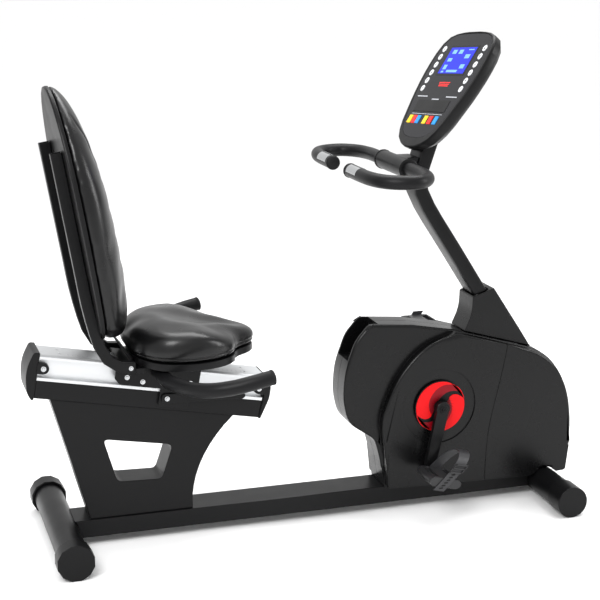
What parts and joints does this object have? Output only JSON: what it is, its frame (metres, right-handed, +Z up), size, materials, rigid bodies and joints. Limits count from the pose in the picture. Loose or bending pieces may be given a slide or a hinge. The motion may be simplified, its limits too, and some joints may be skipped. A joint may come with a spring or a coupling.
{
  "type": "recumbent exercise bike",
  "caption": "Recumbent exercise bike: padded seat and backrest on an inclined slide, belt drive in a shroud, mast with handlebar and console.",
  "frame": {"origin": "on the floor, under the middle of the bike's length and width", "axes": "+X the way the rider faces, +Y the rider's left, +Z up"},
  "size_m": [1.4723, 0.778, 1.2648],
  "materials": {
    "frame_steel": "satin black powder coat",
    "slide_alloy": "brushed extrusion",
    "cap_plastic": "fine textured black",
    "shroud_plastic": "dark grey, lightly textured",
    "panel_plastic": "dark blue-black overlay",
    "key_rubber": "soft pale grey",
    "grip_foam": "matt black foam",
    "cushion_foam": "glossy black vinyl over foam",
    "shell_plastic": "moulded shell",
    "bright_steel": "machined",
    "belt_rubber": "ribbed belt",
    "pedal_plastic": "moulded",
    "strap_plastic": "flexible strap",
    "roller_nylon": "nylon"
  },
  "bodies": {
    "frame": {"base_rail": "frame_steel", "rear_stabilizer": "frame_steel", "front_stabilizer": "frame_steel", "front_cap_right": "cap_plastic", "front_cap_left": "cap_plastic", "seat_post": "frame_steel", "seat_beam": "frame_steel", "seat_rail": "slide_alloy", "rail_cap_rear": "cap_plastic", "rail_cap_front": "cap_plastic", "shroud_right": "shroud_plastic", "shroud_left": "shroud_plastic", "mast_cowl": "shroud_plastic", "mast_tube": "frame_steel", "drive_frame": "frame_steel", "drive_belt": "belt_rubber", "console_housing": "shroud_plastic", "console_fascia": "panel_plastic", "handlebar": "grip_foam", "handlebar_cover": "cap_plastic"},
    "rear_cap_right": {"rear_cap_right": "cap_plastic"},
    "rear_cap_left": {"rear_cap_left": "cap_plastic"},
    "seat": {"carriage": "frame_steel", "seat_pan": "shell_plastic", "seat_cushion": "cushion_foam", "back_shell": "shell_plastic", "back_cushion": "cushion_foam", "upright_right": "frame_steel", "upright_left": "frame_steel", "seat_handle_right": "grip_foam", "seat_handle_left": "grip_foam"},
    "release_lever": {"release_lever": "cap_plastic"},
    "lock_shoe": {"lock_shoe": "roller_nylon"},
    "flywheel": {"flywheel": "bright_steel"},
    "idler_wheel": {"idler_wheel": "roller_nylon"},
    "brake_arm": {"brake_arm": "bright_steel"},
    "crankset": {"crank_axle": "bright_steel", "drive_pulley": "pedal_plastic", "crank_arm_right": "frame_steel", "crank_arm_left": "frame_steel"},
    "pedal_right": {"pedal_right": "pedal_plastic", "strap_right": "strap_plastic"},
    "pedal_left": {"pedal_left": "pedal_plastic", "strap_left": "strap_plastic"},
    "roller_rear_right": {"roller_rear_right": "roller_nylon"},
    "roller_rear_left": {"roller_rear_left": "roller_nylon"},
    "roller_front_right": {"roller_front_right": "roller_nylon"},
    "roller_front_left": {"roller_front_left": "roller_nylon"},
    "button_right_1": {"button_right_1": "key_rubber"},
    "button_right_2": {"button_right_2": "key_rubber"},
    "button_right_3": {"button_right_3": "key_rubber"},
    "button_right_4": {"button_right_4": "key_rubber"},
    "button_right_5": {"button_right_5": "key_rubber"},
    "button_right_6": {"button_right_6": "key_rubber"},
    "button_left_1": {"button_left_1": "key_rubber"},
    "button_left_2": {"button_left_2": "key_rubber"},
    "button_left_3": {"button_left_3": "key_rubber"},
    "button_left_4": {"button_left_4": "key_rubber"},
    "button_left_5": {"button_left_5": "key_rubber"},
    "button_left_6": {"button_left_6": "key_rubber"}
  },
  "joints": [
    {"name": "rear_cap_right_twist", "type": "hinge", "parent": "frame", "child": "rear_cap_right", "pos_m": [-0.65387, -0.226, 0.045], "axis": [0, 1, 0], "range_deg": [-30, 30]},
    {"name": "rear_cap_left_twist", "type": "hinge", "parent": "frame", "child": "rear_cap_left", "pos_m": [-0.65387, 0.226, 0.045], "axis": [0, 1, 0], "range_deg": [-30, 30]},
    {"name": "seat_slide", "type": "slide", "parent": "frame", "child": "seat", "axis": [0.9833, 0, -0.1822], "range_m": [-0.12, 0.1]},
    {"name": "roller_rear_right_spin", "type": "hinge", "parent": "seat", "child": "roller_rear_right", "pos_m": [-0.48387, -0.0445, 0.43983], "axis": [0, 1, 0], "range_deg": [-320, 320]},
    {"name": "roller_rear_left_spin", "type": "hinge", "parent": "seat", "child": "roller_rear_left", "pos_m": [-0.48387, 0.0445, 0.43983], "axis": [0, 1, 0], "range_deg": [-320, 320]},
    {"name": "roller_front_right_spin", "type": "hinge", "parent": "seat", "child": "roller_front_right", "pos_m": [-0.3236, -0.0445, 0.41013], "axis": [0, 1, 0], "range_deg": [-320, 320]},
    {"name": "roller_front_left_spin", "type": "hinge", "parent": "seat", "child": "roller_front_left", "pos_m": [-0.3236, 0.0445, 0.41013], "axis": [0, 1, 0], "range_deg": [-320, 320]},
    {"name": "lever_pull", "type": "hinge", "parent": "seat", "child": "release_lever", "pos_m": [-0.3856, -0.0649, 0.37743], "axis": [0, 1, 0], "range_deg": [-16, 0], "stiffness_Nm_per_rad": 0.8, "springref_deg": 11.46},
    {"name": "shoe_release", "type": "slide", "parent": "seat", "child": "lock_shoe", "axis": [0, -1, 0], "range_m": [0, 0.0022]},
    {"name": "crank_spin", "type": "hinge", "parent": "frame", "child": "crankset", "pos_m": [0.34713, 0, 0.29], "axis": [0, 1, 0], "continuous": true},
    {"name": "pedal_right_spin", "type": "hinge", "parent": "crankset", "child": "pedal_right", "pos_m": [0.3122, -0.164, 0.12567], "axis": [0, 1, 0], "continuous": true},
    {"name": "pedal_left_spin", "type": "hinge", "parent": "crankset", "child": "pedal_left", "pos_m": [0.38206, 0.164, 0.45433], "axis": [0, 1, 0], "continuous": true},
    {"name": "flywheel_spin", "type": "hinge", "parent": "frame", "child": "flywheel", "pos_m": [0.53613, 0, 0.212], "axis": [0, 1, 0], "continuous": true},
    {"name": "idler_spin", "type": "hinge", "parent": "frame", "child": "idler_wheel", "pos_m": [0.44634, 0.037, 0.16313], "axis": [0, 1, 0], "continuous": true},
    {"name": "brake_swing", "type": "hinge", "parent": "frame", "child": "brake_arm", "pos_m": [0.62245, -0.033, 0.30787], "axis": [0, 1, 0], "range_deg": [-5, 0]},
    {"name": "button_right_1_press", "type": "slide", "parent": "frame", "child": "button_right_1", "axis": [0.8281, 0, -0.5606], "range_m": [0, 0.001], "stiffness_N_per_m": 350, "springref_m": -0.0005},
    {"name": "button_right_2_press", "type": "slide", "parent": "frame", "child": "button_right_2", "axis": [0.8281, 0, -0.5606], "range_m": [0, 0.001], "stiffness_N_per_m": 350, "springref_m": -0.0005},
    {"name": "button_right_3_press", "type": "slide", "parent": "frame", "child": "button_right_3", "axis": [0.8281, 0, -0.5606], "range_m": [0, 0.001], "stiffness_N_per_m": 350, "springref_m": -0.0005},
    {"name": "button_right_4_press", "type": "slide", "parent": "frame", "child": "button_right_4", "axis": [0.8281, 0, -0.5606], "range_m": [0, 0.001], "stiffness_N_per_m": 350, "springref_m": -0.0005},
    {"name": "button_right_5_press", "type": "slide", "parent": "frame", "child": "button_right_5", "axis": [0.8281, 0, -0.5606], "range_m": [0, 0.001], "stiffness_N_per_m": 350, "springref_m": -0.0005},
    {"name": "button_right_6_press", "type": "slide", "parent": "frame", "child": "button_right_6", "axis": [0.8281, 0, -0.5606], "range_m": [0, 0.001], "stiffness_N_per_m": 350, "springref_m": -0.0005},
    {"name": "button_left_1_press", "type": "slide", "parent": "frame", "child": "button_left_1", "axis": [0.8281, 0, -0.5606], "range_m": [0, 0.001], "stiffness_N_per_m": 350, "springref_m": -0.0005},
    {"name": "button_left_2_press", "type": "slide", "parent": "frame", "child": "button_left_2", "axis": [0.8281, 0, -0.5606], "range_m": [0, 0.001], "stiffness_N_per_m": 350, "springref_m": -0.0005},
    {"name": "button_left_3_press", "type": "slide", "parent": "frame", "child": "button_left_3", "axis": [0.8281, 0, -0.5606], "range_m": [0, 0.001], "stiffness_N_per_m": 350, "springref_m": -0.0005},
    {"name": "button_left_4_press", "type": "slide", "parent": "frame", "child": "button_left_4", "axis": [0.8281, 0, -0.5606], "range_m": [0, 0.001], "stiffness_N_per_m": 350, "springref_m": -0.0005},
    {"name": "button_left_5_press", "type": "slide", "parent": "frame", "child": "button_left_5", "axis": [0.8281, 0, -0.5606], "range_m": [0, 0.001], "stiffness_N_per_m": 350, "springref_m": -0.0005},
    {"name": "button_left_6_press", "type": "slide", "parent": "frame", "child": "button_left_6", "axis": [0.8281, 0, -0.5606], "range_m": [0, 0.001], "stiffness_N_per_m": 350, "springref_m": -0.0005}
  ],
  "couplings": [
    {"joint": "flywheel_spin", "follows": "crank_spin", "ratio": 5},
    {"joint": "idler_spin", "follows": "crank_spin", "ratio": -6.1111},
    {"joint": "shoe_release", "follows": "lever_pull", "m_per_rad": -0.0075},
    {"joint": "roller_rear_right_spin", "follows": "seat_slide", "rad_per_m": 44.743},
    {"joint": "roller_rear_left_spin", "follows": "seat_slide", "rad_per_m": 44.743},
    {"joint": "roller_front_right_spin", "follows": "seat_slide", "rad_per_m": 44.743},
    {"joint": "roller_front_left_spin", "follows": "seat_slide", "rad_per_m": 44.743}
  ]
}
